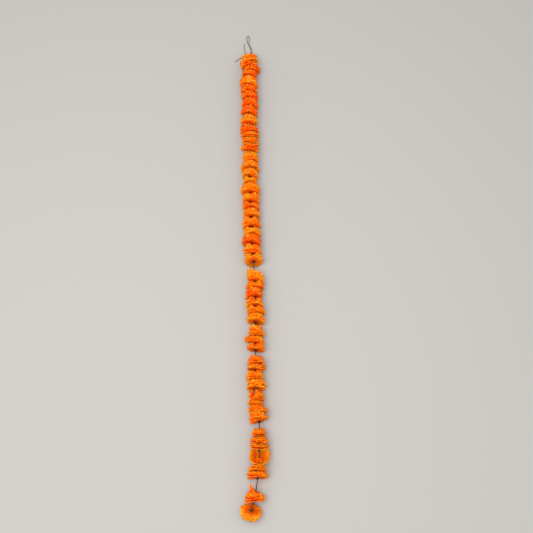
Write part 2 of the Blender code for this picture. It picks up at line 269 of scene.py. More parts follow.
class Bend(NamedTuple):
    """A place where the string's line across the surface changes, in mm."""

    along: float
    across: float


STRING_LINE = (
    Bend(along=705, across=-16.5),
    Bend(along=550, across=-15.5),
    Bend(along=375, across=-13.0),
    Bend(along=210, across=-11.5),
    Bend(along=55, across=-4.0),
    Bend(along=-6, across=1.5),
    Bend(along=-98, across=4.5),
    Bend(along=-218, across=7.0),
    Bend(along=-262, across=5.5),
    Bend(along=-355, across=7.5),
    Bend(along=-415, across=10.5),
    Bend(along=-442, across=16.5),
    Bend(along=-462, across=18.0),
    Bend(along=-536, across=17.5),
    Bend(along=-571, across=14.5),
    Bend(along=-596, across=12.5),
    Bend(along=-657, across=1.0),
    Bend(along=-676, across=-3.0),
)

def lying(*places: tuple[float, float]) -> list[tuple[float, float, float]]:
    """Places of a cord that lies on the floor, from across and along it."""
    return [(across, along, CORD_HEIGHT) for across, along in places]


# Routes of the free cords, each a list of places in mm: across, along and up
HANGING_LOOP = (
    (-17.4, 706.8, 25.0),
    (-16.9, 713.5, 23.3),
    (-15.3, 722.0, 12.5),
    (-14.0, 729.5, 3.8),
    *lying(
        (-13.2, 737.0), (-15.3, 746.5), (-19.4, 756.5), (-23.3, 766.0), (-26.2, 775.5),
        (-27.6, 785.0), (-26.6, 791.0), (-23.0, 794.3), (-19.4, 791.0), (-18.4, 784.5),
        (-19.0, 775.0), (-19.6, 766.5), (-16.4, 757.5), (-12.1, 747.0), (-9.9, 737.0),
    ),
    (-10.8, 729.5, 3.8),
    (-12.2, 722.0, 12.5),
    (-13.8, 713.5, 23.3),
    (-14.4, 706.8, 25.0),
)
SECOND_STRAND = (
    (-20.4, 706.8, 24.5),
    (-22.2, 713.5, 21.8),
    (-26.2, 721.0, 11.0),
    (-29.6, 727.5, 3.4),
    *lying((-32.4, 734.0), (-34.2, 743.0), (-34.9, 752.5), (-35.2, 764.5)),
)
LOOSE_END = (
    (-17.8, 706.8, 20.6),
    (-22.4, 713.5, 17.0),
    (-32.0, 718.0, 7.5),
    (-38.8, 717.5, 2.6),
    *lying((-45.8, 713.5), (-54.8, 706.5), (-64.0, 699.5)),
)


@dataclass
class Wiring:
    """A node tree with short ways to add its nodes and join them."""

    tree: bpy.types.NodeTree

    def add(self, kind: str, **settings: object) -> bpy.types.Node:
        """Adds one node.

        Args:
            kind: the node's type.
            settings: values of its own properties.

        Returns:
            The new node.
        """
        node = self.tree.nodes.new(kind)
        for name, value in settings.items():
            setattr(node, name, value)
        return node

    def feed(self, socket: Socket, value: Feed) -> None:
        """Joins another node's output to a socket, or sets the socket's own value."""
        if isinstance(value, bpy.types.NodeSocket):
            self.tree.links.new(value, socket)
        else:
            socket.default_value = value

    def maths(self, operation: str, *values: Feed) -> Socket:
        """Adds a Math node.

        Args:
            operation: what it does.
            values: its inputs, sockets or numbers.

        Returns:
            Its output.
        """
        node = self.add("ShaderNodeMath", operation=operation)
        for socket, value in zip(node.inputs, values):
            self.feed(socket, value)
        return node.outputs[0]

    def feeds(self, node: bpy.types.Node, values: dict[str, Feed]) -> None:
        """Feeds the named inputs of a node."""
        for name, value in values.items():
            self.feed(node.inputs[name], value)

    def parts(self, vector: Feed) -> Sequence[Socket]:
        """Splits a vector into its three numbers."""
        node = self.add("ShaderNodeSeparateXYZ")
        self.feed(node.inputs[0], vector)
        return node.outputs

    def stretched(self, vector: Feed, sizes: Feed) -> Socket:
        """Multiplies a vector by three sizes, or by one, and returns the output."""
        node = self.add("ShaderNodeVectorMath", operation="MULTIPLY")
        self.feed(node.inputs[0], vector)
        self.feed(node.inputs[1], sizes)
        return node.outputs[0]

    def cloud(self, vector: Feed, values: dict[str, Feed]) -> Socket:
        """Adds a noise texture with some named values and returns its height from 0 to 1."""
        node = self.add("ShaderNodeTexNoise")
        self.feeds(node, {"Vector": vector, **values})
        return node.outputs["Fac"]

    def bump(
        self, height: Feed, strength: float, distance: float, under: Socket | None = None
    ) -> Socket:
        """Adds a Bump node.

        Args:
            height: the relief, from 0 to 1.
            strength: how much of it shows.
            distance: how high 1 is, in mm.
            under: the normal that it is added to, where there is one.

        Returns:
            The new normal.
        """
        node = self.add("ShaderNodeBump")
        self.feeds(node, {"Height": height, "Strength": strength, "Distance": distance * MM})
        if under is not None:
            self.feed(node.inputs["Normal"], under)
        return node.outputs["Normal"]

    def blended(self, share: Feed, first: Feed, second: Feed, way: str = "MIX") -> Socket:
        """Mixes two colours.

        Args:
            share: how much of the second colour.
            first: the first colour.
            second: the second colour.
            way: the kind of mix.

        Returns:
            The mixed colour.
        """
        node = self.add("ShaderNodeMix", data_type="RGBA", blend_type=way)
        self.feed(node.inputs[0], share)
        self.feed(node.inputs[6], first)
        self.feed(node.inputs[7], second)
        return node.outputs[2]

    def placed(self, group: bpy.types.NodeTree, values: dict[str, Feed]) -> bpy.types.Node:
        """Adds a group node and feeds its named inputs.

        Args:
            group: the shared node group.
            values: what each named input gets.

        Returns:
            The group node.
        """
        node = self.add("ShaderNodeGroup", node_tree=group)
        self.feeds(node, values)
        return node


def new_group(
    name: str, inputs: dict[str, str], outputs: dict[str, str]
) -> tuple[Wiring, Mapping[str, Socket], bpy.types.Node]:
    """Starts a shader node group with named sockets.

    Args:
        name: the group's name.
        inputs: each input's name and its kind, such as Float.
        outputs: each output's name and its kind.

    Returns:
        The group's wiring, the sockets that it is given, and the node that takes its results.
    """
    group = bpy.data.node_groups.new(name, "ShaderNodeTree")
    for way, sockets in (("INPUT", inputs), ("OUTPUT", outputs)):
        for label, kind in sockets.items():
            group.interface.new_socket(name=label, in_out=way, socket_type=f"NodeSocket{kind}")
    given = group.nodes.new("NodeGroupInput").outputs
    return Wiring(group), given, group.nodes.new("NodeGroupOutput")


def weave_group() -> bpy.types.NodeTree:
    """A plain weave: threads that pass over and under each other, as a height from 0 to 1."""
    wiring, given, results = new_group(
        "Plain Weave", {"Vector": "Vector", "Threads": "Float"}, {"Height": "Float"}
    )
    threads = wiring.parts(wiring.stretched(given["Vector"], given["Threads"]))[:2]
    turned = [wiring.maths("MULTIPLY", thread, math.pi) for thread in threads]
    ridges = [wiring.maths("ABSOLUTE", wiring.maths("SINE", turn)) for turn in turned]
    cells = [wiring.maths("FLOOR", thread) for thread in threads]
    over = wiring.maths("FLOORED_MODULO", wiring.maths("ADD", *cells), 2.0)
    under = wiring.maths("SUBTRACT", 1.0, over)
    warp = wiring.maths("MULTIPLY", ridges[0], over)
    weft = wiring.maths("MULTIPLY", ridges[1], under)
    wiring.feeds(results, {"Height": wiring.maths("ADD", warp, weft)})
    return wiring.tree


def drift_group() -> bpy.types.NodeTree:
    """A slow change between two colours over the surface, with its mask."""
    wiring, given, results = new_group(
        "Tone Drift",
        {"Vector": "Vector", "Scale": "Float", "First": "Color", "Second": "Color"},
        {"Colour": "Color", "Mask": "Float"},
    )
    cloud = wiring.cloud(given["Vector"], {"Scale": given["Scale"], "Detail": 3.0})
    spread = wiring.add("ShaderNodeMapRange", clamp=True)
    wiring.feeds(spread, {"Value": cloud, "From Min": 0.34, "From Max": 0.66})
    mask = spread.outputs["Result"]
    mixed = wiring.blended(mask, given["First"], given["Second"])
    wiring.feeds(results, {"Colour": mixed, "Mask": mask})
    return wiring.tree


def pleat_group() -> bpy.types.NodeTree:
    """Pleats pressed into cloth along its petals, as a height from 0 to 1."""
    wiring, given, results = new_group(
        "Pressed Pleats", {"Vector": "Vector", "Count": "Float"}, {"Height": "Float"}
    )
    across, out, _ = wiring.parts(given["Vector"])
    joined = wiring.add("ShaderNodeCombineXYZ")
    wiring.feeds(joined, {"X": wiring.maths("MULTIPLY", across, given["Count"]), "Y": out})
    creases = {"Scale": 1.6, "Detail": 2.0, "Distortion": 0.4}
    wiring.feeds(results, {"Height": wiring.cloud(joined.outputs[0], creases)})
    return wiring.tree


def twist_group() -> bpy.types.NodeTree:
    """Fibres that wind round a yarn, as a height and a mask, from 0 to 1."""
    wiring, given, results = new_group(
        "Fibre Twist",
        {"Vector": "Vector", "Fibres": "Float", "Turns": "Float"},
        {"Height": "Float", "Mask": "Float"},
    )
    length, way_round, _ = wiring.parts(given["Vector"])
    around = wiring.maths("MULTIPLY", way_round, given["Fibres"])
    along = wiring.maths("MULTIPLY", length, given["Turns"])
    turned = wiring.maths("MULTIPLY", wiring.maths("ADD", around, along), FULL_TURN)
    ridge = wiring.maths("MULTIPLY_ADD", wiring.maths("SINE", turned), 0.5, 0.5)
    loose = wiring.cloud(given["Vector"], {"Scale": 900.0})
    wiring.feeds(results, {"Height": wiring.maths("MULTIPLY", ridge, loose), "Mask": ridge})
    return wiring.tree


@dataclass(frozen=True)
class SharedEffects:
    """The node groups that the finishes share."""

    weave: bpy.types.NodeTree
    drift: bpy.types.NodeTree
    pleats: bpy.types.NodeTree
    twist: bpy.types.NodeTree


def new_material(name: str) -> tuple[bpy.types.Material, Wiring, bpy.types.Node]:
    """A material with its wiring and its Principled shader."""
    material = bpy.data.materials.new(name)
    material.use_nodes = True
    wiring = Wiring(material.node_tree)
    return material, wiring, material.node_tree.nodes["Principled BSDF"]


@dataclass(frozen=True)
class PetalCloth:
    """Thin crinkled polyester cloth in one shade, painted redder towards the petals' roots as painted
    shade and lighter towards their edges as painted light.
    """

    name: str
    # Colours from the petals' roots, painted redder as shade, to their edges, painted lighter as light
    core: Colour
    body: Colour
    edge: Colour
    # The painted highlight's colour, and how much of it the chosen petal tips get
    painted_glint: Colour = (1.0, 0.38, 0.03, 1.0)
    painted_glint_share: float = 0.7
    core_end: float = 0.30
    body_at: float = 0.72
    patch_scale: float = 55.0
    patch_share: float = 0.22
    threads_per_metre: float = 3200.0
    pleat_count: float = 5.0
    sheen: float = 0.04
    glow: float = 0.75

    def material(self, effects: SharedEffects) -> bpy.types.Material:
        """Builds the cloth's material.

        Args:
            effects: the shared node groups.

        Returns:
            The material, which reads the cloth's own cut and pleats maps.
        """
        material, wiring, shader = new_material(self.name)
        place = wiring.add("ShaderNodeTexCoord").outputs["Object"]
        cut = wiring.add("ShaderNodeUVMap", uv_map="cut").outputs["UV"]
        petal = wiring.add("ShaderNodeUVMap", uv_map="pleats").outputs["UV"]
        tip = wiring.add("ShaderNodeAttribute", attribute_name="tip").outputs["Fac"]
        shade = wiring.add("ShaderNodeAttribute", attribute_name="shade").outputs["Fac"]
        # Painted shade and light: the colour runs from the red core at the petals' hidden roots to the
        # light edge at their tips
        ramp = wiring.add("ShaderNodeValToRGB")
        ramp.color_ramp.elements[0].position = self.core_end
        ramp.color_ramp.elements[0].color = self.core
        ramp.color_ramp.elements[1].position = 1.0
        ramp.color_ramp.elements[1].color = self.edge
        ramp.color_ramp.elements.new(self.body_at).color = self.body
        wiring.feed(ramp.inputs[0], tip)
        drift = wiring.placed(
            effects.drift,
            {"Vector": place, "Scale": self.patch_scale, "First": self.core, "Second": self.edge},
        )
        spotted = wiring.blended(self.patch_share, ramp.outputs[0], drift.outputs["Colour"])
        # Painted highlight: the lightest third of the petals are painted paler at their tips, as if they
        # caught the light
        chosen = wiring.maths("MAXIMUM", wiring.maths("MULTIPLY_ADD", shade, 3.0, -2.0), 0.0)
        painted_glint_mask = wiring.maths("MULTIPLY", chosen, wiring.maths("POWER", tip, 5.0))
        share = wiring.maths("MULTIPLY", painted_glint_mask, self.painted_glint_share)
        painted_glint_colour = wiring.blended(share, spotted, self.painted_glint)
        dark = wiring.maths("MULTIPLY_ADD", shade, 0.16, 0.92)
        weave = wiring.placed(effects.weave, {"Vector": cut, "Threads": self.threads_per_metre})
        worn = wiring.maths("MULTIPLY_ADD", drift.outputs["Mask"], 0.12, 0.62)
        rough = wiring.maths("MULTIPLY_ADD", weave.outputs["Height"], -0.1, worn)
        pleats = wiring.placed(effects.pleats, {"Vector": petal, "Count": self.pleat_count})
        folds = wiring.bump(pleats.outputs["Height"], strength=0.9, distance=1.4)
        cloth = wiring.bump(weave.outputs["Height"], strength=0.5, distance=0.05, under=folds)
        wiring.feeds(
            shader,
            {
                "Base Color": wiring.blended(1.0, painted_glint_colour, dark, "MULTIPLY"),
                "Roughness": rough,
                "Normal": cloth,
                "Sheen Weight": self.sheen,
                "Sheen Roughness": 0.45,
                "Sheen Tint": self.edge,
                "Specular IOR Level": 0.08,
                "Subsurface Weight": self.glow,
                "Subsurface Radius": (1.0, 0.25, 0.05),
                "Subsurface Scale": 4.0 * MM,
            },
        )
        return material


@dataclass(frozen=True)
class PlyYarn:
    """Plied yarn whose fibres wind round it, with painted shade in the grooves between them and darker
    spots of handling.
    """

    name: str
    # The colours on the fibres' ridges and, as painted shade, in the grooves between them
    light: Colour
    dark: Colour
    spot: Colour
    fibres: float
    turns_per_metre: float

    def material(self, effects: SharedEffects) -> bpy.types.Material:
        """Builds the yarn's material.

        Args:
            effects: the shared node groups.

        Returns:
            The material, which reads the yarn's own map of its length and its way round.
        """
        material, wiring, shader = new_material(self.name)
        place = wiring.add("ShaderNodeTexCoord").outputs["Object"]
        wound = wiring.add("ShaderNodeUVMap", uv_map="wound").outputs["UV"]
        twist = wiring.placed(
            effects.twist,
            {"Vector": wound, "Fibres": self.fibres, "Turns": self.turns_per_metre},
        )
        # Painted shade: darker in the grooves between the wound fibres, lighter on their ridges
        fibres = wiring.blended(twist.outputs["Mask"], self.dark, self.light)
        drift = wiring.placed(
            effects.drift,
            {"Vector": place, "Scale": 120.0, "First": self.light, "Second": self.spot},
        )
        wiring.feeds(
            shader,
            {
                "Base Color": wiring.blended(0.45, fibres, drift.outputs["Colour"]),
                "Roughness": wiring.maths("MULTIPLY_ADD", drift.outputs["Mask"], 0.15, 0.75),
                "Normal": wiring.bump(twist.outputs["Height"], strength=0.7, distance=0.12),
                "Sheen Weight": 0.05,
                "Specular IOR Level": 0.1,
            },
        )
        return material


@dataclass(frozen=True)
class MouldedGreen:
    """Soft green or olive plastic, dusty in places, with fine flow marks from its mould."""

    name: str
    leaf: Colour
    olive: Colour
    marks_per_metre: tuple[float, float, float] = (900.0, 200.0, 900.0)

    def material(self, effects: SharedEffects) -> bpy.types.Material:
        """Builds the plastic's material.

        Args:
            effects: the shared node groups.

        Returns:
            The material.
        """
        material, wiring, shader = new_material(self.name)
        place = wiring.add("ShaderNodeTexCoord").outputs["Object"]
        drift = wiring.placed(
            effects.drift,
            {"Vector": place, "Scale": 210.0, "First": self.leaf, "Second": self.olive},
        )
        marks = wiring.cloud(wiring.stretched(place, self.marks_per_metre), {"Scale": 1.0})
        wiring.feeds(
            shader,
            {
                "Base Color": drift.outputs["Colour"],
                "Roughness": wiring.maths("MULTIPLY_ADD", drift.outputs["Mask"], 0.2, 0.55),
                "Normal": wiring.bump(marks, strength=0.4, distance=0.1),
                "Specular IOR Level": 0.15,
            },
        )
        return material


PETAL_FINISHES = {
    Tone.DEEP: PetalCloth(
        name="marigold_deep",
        core=(1.0, 0.012, 0.0, 1.0),
        body=(1.0, 0.050, 0.0, 1.0),
        edge=(1.0, 0.150, 0.0, 1.0),
    ),
    Tone.BRIGHT: PetalCloth(
        name="marigold_bright",
        core=(1.0, 0.017, 0.0, 1.0),
        body=(1.0, 0.088, 0.0, 1.0),
        edge=(1.0, 0.245, 0.002, 1.0),
    ),
    Tone.GOLDEN: PetalCloth(
        name="marigold_golden",
        core=(1.0, 0.024, 0.0, 1.0),
        body=(1.0, 0.118, 0.0, 1.0),
        edge=(1.0, 0.29, 0.004, 1.0),
    ),
}
STRING_FINISH = PlyYarn(
    name="string_cotton",
    light=(0.085, 0.070, 0.030, 1.0),
    dark=(0.028, 0.023, 0.009, 1.0),
    spot=(0.032, 0.030, 0.010, 1.0),
    fibres=9.0,
    turns_per_metre=420.0,
)
CORD_FINISH = PlyYarn(
    name="loop_cotton",
    light=(0.38, 0.29, 0.245, 1.0),
    dark=(0.15, 0.11, 0.09, 1.0),
    spot=(0.055, 0.042, 0.034, 1.0),
    fibres=9.0,
    turns_per_metre=480.0,
)
# Olive plastic painted very dark: partly its own colour, partly painted shade of the flower's opening
# round the cup
CALYX_FINISH = MouldedGreen(
    name="calyx_olive_painted_shade",
    leaf=(0.016, 0.019, 0.004, 1.0),
    olive=(0.030, 0.019, 0.004, 1.0),
)
LAST_CALYX_FINISH = MouldedGreen(
    name="calyx_green",
    leaf=(0.018, 0.060, 0.005, 1.0),
    olive=(0.030, 0.042, 0.006, 1.0),
)


@dataclass(frozen=True)
class Face:
    """A tilted plane across the string, which the rounds of a flower are set out on."""

    centre: Vector
    yaw: float
    lean: float

    @property
    def side(self) -> Vector:
        """The way across the plane."""
        turn = math.radians(self.yaw)
        return Vector((math.cos(turn), math.sin(turn), 0.0))

    @property
    def ahead(self) -> Vector:
        """The way out of the plane, towards the flower's front."""
        turn = math.radians(self.yaw)
        tip = math.radians(self.lean)
        level = math.cos(tip)
        return Vector((-math.sin(turn) * level, math.cos(turn) * level, -math.sin(tip)))

    def turned(self) -> Matrix:
        """The plane's own axes as a matrix: across, ahead and up."""
        upper = self.side.cross(self.ahead)
        return Matrix((self.side, self.ahead, upper)).transposed()


@dataclass(frozen=True)
class Round:
    """One round of cloth in a flower, from its hole to the tips of its petals.

    Sizes are in mm. A share runs from the flower's front, 0, to its back, 1.
    """

    root_share: float
    tip_radius: float
    tip_share: float
    bend: float
    petals: int
    ruffle: float
    notch: float
    rings: int = 5
    # How much lighter the round's inner part is painted, as painted light on the flower's back
    core_light: float = 0.0

    @property
    def columns(self) -> int:
        """How many columns of cloth there are round it."""
        return self.petals * COLUMNS

    @property
    def lightness(self) -> float:
        """How light its tips are painted: the small inner rounds, deep in the flower, stay redder as
        painted shade.
        """
        full = min(1.0, self.tip_radius / LIGHT_RADIUS)
        return HEART_LIGHTNESS + (1.0 - HEART_LIGHTNESS) * full

    @property
    def cut_radius(self) -> float:
        """The radius of the flat cut, before it is pleated."""
        return self.tip_radius * CUT_EXTRA


# From the flower's front to its back
ROUNDS = (
    Round(
        root_share=0.50, tip_radius=10.0, tip_share=0.0, bend=1.8,
        petals=7, ruffle=1.4, notch=0.24, rings=4,
    ),
    Round(root_share=0.60, tip_radius=16.0, tip_share=0.0, bend=1.9, petals=9, ruffle=2.2, notch=0.18),
    Round(root_share=0.68, tip_radius=21.0, tip_share=0.1, bend=1.8, petals=10, ruffle=2.8, notch=0.15),
    Round(root_share=0.75, tip_radius=24.6, tip_share=0.27, bend=1.7, petals=11, ruffle=3.2, notch=0.12),
    Round(root_share=0.82, tip_radius=27.2, tip_share=0.46, bend=1.6, petals=12, ruffle=3.4, notch=0.09),
    Round(
        root_share=0.89, tip_radius=28.8, tip_share=0.68, bend=1.5,
        petals=13, ruffle=3.4, notch=0.08, core_light=0.1,
    ),
    Round(
        root_share=0.95, tip_radius=28.2, tip_share=0.92, bend=1.3,
        petals=13, ruffle=2.6, notch=0.07, core_light=0.3,
    ),
)


def string_at(along: float) -> Vector:
    """The middle of the string at a place along it, in mm."""
    before = STRING_LINE[0]
    if along >= before.along:
        return Vector((before.across, along, STRING_HEIGHT))
    for after in STRING_LINE[1:]:
        if along >= after.along:
            share = (before.along - along) / (before.along - after.along)
            across = before.across + (after.across - before.across) * share
            return Vector((across, along, STRING_HEIGHT))
        before = after
    return Vector((before.across, along, STRING_HEIGHT))


def new_object(name: str, body: bmesh.types.BMesh, material: bpy.types.Material) -> bpy.types.Object:
    """Turns a bmesh into an object.

    Args:
        name: the object's name.
        body: its shape in metres, which is freed.
        material: its finish.

    Returns:
        The new object.
    """
    mesh = bpy.data.meshes.new(name)
    body.to_mesh(mesh)
    body.free()
    mesh.materials.append(material)
    made = bpy.data.objects.new(name, mesh)
    bpy.context.scene.collection.objects.link(made)
    return made


def new_piece(name: str, body: bmesh.types.BMesh, material: bpy.types.Material) -> bpy.types.Object:
    """Turns a bmesh into a smooth piece that rides on the root body, as new_object does."""
    piece = new_object(name, body, material)
    piece.data.shade_smooth()
    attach(piece, "root")
    return piece


def spin_profile(
    body: bmesh.types.BMesh, points: list[bmesh.types.BMVert], closed: bool, steps: int
) -> None:
    """Joins points by edges and spins them a full turn round the Y axis.

    Args:
        body: the bmesh that holds the points.
        points: the profile's corners in order.
        closed: whether the last corner is joined to the first.
        steps: how many steps there are in the turn.
    """
    first = 0 if closed else 1
    edges = [body.edges.new((points[i - 1], points[i])) for i in range(first, len(points))]
    bmesh.ops.spin(
        body,
        geom=points + edges,
        cent=(0.0, 0.0, 0.0),
        axis=(0.0, 1.0, 0.0),
        dvec=(0.0, 0.0, 0.0),
        angle=FULL_TURN,
        steps=steps,
        use_merge=True,
    )


@dataclass(frozen=True)
class Ruffles:
    """The random draws that make one round of one flower its own."""

    turn: float
    tilt: tuple[float, float]
    offset: Vector
    longer: list[float]
    lifted: list[float]
    phase: list[float]
    shades: list[float]

    @classmethod
    def drawn(cls, cloth: Round, chance: random.Random) -> "Ruffles":
        """Draws a round's own numbers.

        Args:
            cloth: the round.
            chance: the flower's seeded draws.

        Returns:
            The draws, one for each petal where a petal has its own.
        """
        petals = range(cloth.petals)
        return cls(
            turn=chance.uniform(0.0, FULL_TURN),
            tilt=(chance.gauss(0.0, TILT), chance.gauss(0.0, TILT)),
            offset=Vector([chance.uniform(-NOISE_SPREAD, NOISE_SPREAD) for _ in range(3)]),
            longer=[chance.uniform(-UNEVEN_REACH, UNEVEN_REACH) for _ in petals],
            lifted=[chance.uniform(-1.0, 1.0) for _ in petals],
            phase=[chance.uniform(0.0, FULL_TURN) for _ in petals],
            shades=[chance.random() for _ in petals],
        )

    def at(self, values: list[float], petal: int, step: int) -> float:
        """A petal's own value, or at its edge the mean of it and the petal before."""
        if step:
            return values[petal]
        return (values[petal] + values[petal - 1]) / 2.0


def flat_rounds() -> bpy.types.Mesh:
    """Spins the flat rounds that every flower starts from, one for each size, in mm.

    Returns:
        A mesh whose points know their round, column and ring, with a map of the flat cut and one
        that follows the petals.
    """
    body = bmesh.new()
    layers = [body.verts.layers.int.new(name) for name in WORKING_LAYERS]
    tip_of = body.verts.layers.float.new("tip")
    body.verts.layers.float.new("shade")
    cut = body.loops.layers.uv.new("cut")
    pleats = body.loops.layers.uv.new("pleats")
    for index, cloth in enumerate(ROUNDS):
        ring_width = (cloth.cut_radius - CUT_HOLE) / cloth.rings
        before = len(body.verts)
        chain = []
        for ring in range(cloth.rings + 1):
            point = body.verts.new((CUT_HOLE + ring_width * ring, 0.0, 0.0))
            share = ring / cloth.rings
            # The tip value sets the painted light and shade along the cloth, from its inner part to the
            # petal tips
            point[tip_of] = cloth.core_light * (1.0 - share) + cloth.lightness * share
            chain.append(point)
        spin_profile(body, chain, False, cloth.columns)
        body.verts.ensure_lookup_table()
        points = body.verts[before:]
        for point in points:
            turn = math.atan2(point.co.z, point.co.x) / FULL_TURN
            column = round(turn * cloth.columns) % cloth.columns
            ring = round((point.co.length - CUT_HOLE) / ring_width)
            for layer, value in zip(layers, (index, column, ring)):
                point[layer] = value
        for face in {face for point in points for face in point.link_faces}:
            columns = [loop.vert[layers[1]] for loop in face.loops]
            wraps = max(columns) - min(columns) > 1
            for loop, column in zip(face.loops, columns):
                flat = loop.vert.co
                if wraps and column == 0:
                    column = cloth.columns
                loop[cut].uv = (flat.x * MM, flat.z * MM)
                loop[pleats].uv = (column / COLUMNS, flat.length / cloth.cut_radius)
    bmesh.ops.recalc_face_normals(body, faces=body.faces)
    mesh = bpy.data.meshes.new("flat_rounds")
    body.to_mesh(mesh)
    body.free()
    return mesh


class Corner(NamedTuple):
    """A corner of the calyx cup's turned profile, in mm, from the flower's back."""

    radius: float
    ahead: float


CALYX_PROFILE = (
    Corner(radius=1.7, ahead=-CALYX_LENGTH),
    Corner(radius=2.5, ahead=-CALYX_LENGTH),
    Corner(radius=2.9, ahead=-3.6),
    Corner(radius=3.9, ahead=-1.9),
    Corner(radius=4.8, ahead=-0.75),
    Corner(radius=6.2, ahead=-0.35),
    Corner(radius=6.0, ahead=0.1),
    Corner(radius=4.4, ahead=-0.1),
    Corner(radius=1.7, ahead=-0.6),
)


@dataclass(frozen=True)
class Flower:
    """One cloth flower between its front and back plane, with the calyx cup at its back."""

    number: int
    bloom: Bloom
    front: Face
    back: Face

    @property
    def node(self) -> str:
        """The name of the flower's solid."""
        return f"flower_{self.number:02d}"

    @property
    def depth(self) -> float:
        """How far apart its two planes are at the string, in mm."""
        return (self.front.centre - self.back.centre).length

    @property
    def cut_size(self) -> float:
        """How large its rounds are cut, as a share of the usual size."""
        return math.sqrt((self.bloom.left + self.bloom.right) / (2.0 * RIM_RADIUS))

    def petals(self, rounds: bpy.types.Mesh, material: bpy.types.Material) -> bpy.types.Object:
        """Builds the flower's rounds of cloth as one piece.

        Args:
            rounds: the flat rounds as they are cut, in mm.
            material: the cloth's finish.

        Returns:
            The piece.
        """
        body = bmesh.new()
        body.from_mesh(rounds)
        self.gather(body)
        piece = new_piece(f"petals_{self.number:02d}", body, material)
        thick = piece.modifiers.new("thickness", "SOLIDIFY")
        thick.thickness = CLOTH_THICKNESS * MM
        thick.offset = 0.0
        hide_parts(self.node)
        return piece

    def gather(self, body: bmesh.types.BMesh) -> None:
        """Moves the flat rounds' points to where the gathered cloth has them, in metres.

        Args:
            body: the flat rounds, whose working layers are taken off again.
        """
        round_of, column_of, ring_of = (body.verts.layers.int[name] for name in WORKING_LAYERS)
        shade_of = body.verts.layers.float["shade"]
        chance = random.Random(RUFFLE_SEED * self.number)
        ruffles = [Ruffles.drawn(cloth, chance) for cloth in ROUNDS]
        own = [quirk for quirk in QUIRKS if self.number in quirk.flowers]
        quirks = [[quirk for quirk in own if i in quirk.rows] for i in range(len(ROUNDS))]
        loose = min(1.0, self.depth / USUAL_DEPTH)
        axes = (self.front.turned(), self.back.turned())
        for point in body.verts:
            index = point[round_of]
            cloth = ROUNDS[index]
            drawn = ruffles[index]
            t = point[ring_of] / cloth.rings
            column = point[column_of]
            petal, step = divmod(column, COLUMNS)
            angle = column / cloth.columns * FULL_TURN + drawn.turn
            u = step / COLUMNS
            crown = math.sin(math.pi * u) ** CROWN_POWER if step else 0.0
            reach = 1.0 - cloth.notch * (1.0 - crown) + drawn.at(drawn.longer, petal, step)
            radius = CUT_HOLE + (cloth.tip_radius * reach - CUT_HOLE) * t
            if point[ring_of] == cloth.rings:
                radius += PINKING if column % 2 else -PINKING
            share = cloth.root_share + (cloth.tip_share - cloth.root_share) * t**cloth.bend
            wave = math.sin(FULL_TURN * WAVES * u + drawn.phase[petal]) * crown
            lift = drawn.at(drawn.lifted, petal, step)
            ruffled = WAVE_SHARE * wave + LIFT_SHARE * lift
            forward = cloth.ruffle * loose * t**RUFFLE_POWER * ruffled
            forward -= PLEAT_DEPTH * loose * math.sqrt(t) * math.cos(FULL_TURN * u)
            slope = drawn.tilt[0] * math.cos(angle) + drawn.tilt[1] * math.sin(angle)
            forward += slope * radius * loose
            for quirk in quirks[index]:
                for near in quirk.shares(math.degrees(angle)):
                    radius *= 1.0 - quirk.shorter * t * near
                    forward += quirk.forward * t * near
            place = self.spot(axes, angle, radius, share, forward)
            seed = place - self.back.centre + drawn.offset
            coarse = noise.noise_vector(seed / CRUMPLE_LENGTH)
            fine = noise.noise_vector(seed / FINE_LENGTH)
            place += (coarse * CRUMPLE + fine * FINE_CRUMPLE) * (t * loose)
            place.z = LOWEST_CLOTH + FLOOR_SOFTNESS * softplus(place.z / FLOOR_SOFTNESS)
            point.co = place * MM
            point[shade_of] = drawn.at(drawn.shades, petal, step)
        for name in WORKING_LAYERS:
            body.verts.layers.int.remove(body.verts.layers.int[name])

    def spot(
        self,
        axes: tuple[Matrix, Matrix],
        angle: float,
        radius: float,
        share: float,
        forward: float,
    ) -> Vector:
        """A place in the flower.

        Args:
            axes: the front and the back plane's own axes.
            angle: round the string, in radians.
            radius: from the string, in mm.
            share: from the front plane, 0, to the back plane, 1.
            forward: past that towards the front, in mm.

        Returns:
            The place in mm.
        """
        spread = radius / RIM_RADIUS
        across = self.bloom.right if math.cos(angle) > 0.0 else self.bloom.left
        height = ABOVE_STRING if math.sin(angle) > 0.0 else BELOW_STRING
        wide = radius * (1.0 + (across / RIM_RADIUS - 1.0) * spread) * math.cos(angle)
        tall = radius * (1.0 + (height / RIM_RADIUS - 1.0) * spread) * math.sin(angle)
        local = Vector((wide, forward, tall))
        ahead = self.front.centre + axes[0] @ local
        behind = self.back.centre + axes[1] @ local
        return ahead.lerp(behind, share)

    def calyx(self, material: bpy.types.Material) -> bpy.types.Object:
        """Builds the cup at the flower's back, a turned form with sepals.

        Args:
            material: the plastic's finish.

        Returns:
            The piece.
        """
        body = bmesh.new()
        ring = [body.verts.new((corner.radius, corner.ahead, 0.0)) for corner in CALYX_PROFILE]
        spin_profile(body, ring, True, SEPALS * STEPS_PER_SEPAL)
        bmesh.ops.remove_doubles(body, verts=body.verts, dist=MERGE_DISTANCE)
        bmesh.ops.recalc_face_normals(body, faces=body.faces)
        for point in body.verts:
            angle = math.atan2(point.co.z, point.co.x)
            radius = math.hypot(point.co.x, point.co.z)
            if radius > SEPAL_RADIUS:
                narrow = 0.5 - 0.5 * math.cos(angle * SEPALS)
                point.co.x *= 1.0 - SEPAL_NOTCH * narrow
                point.co.z *= 1.0 - SEPAL_NOTCH * narrow
        place = Matrix.Translation(self.back.centre) @ self.back.turned().to_4x4()
        bmesh.ops.transform(body, matrix=Matrix.Scale(MM, 4) @ place, verts=body.verts)
        piece = new_piece(f"calyx_{self.number:02d}", body, material)
        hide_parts(self.node)
        return piece


def softplus(value: float) -> float:
    """A smooth ramp that never goes below zero."""
    straight_from = 20.0
    return value if value > straight_from else math.log1p(math.exp(value))


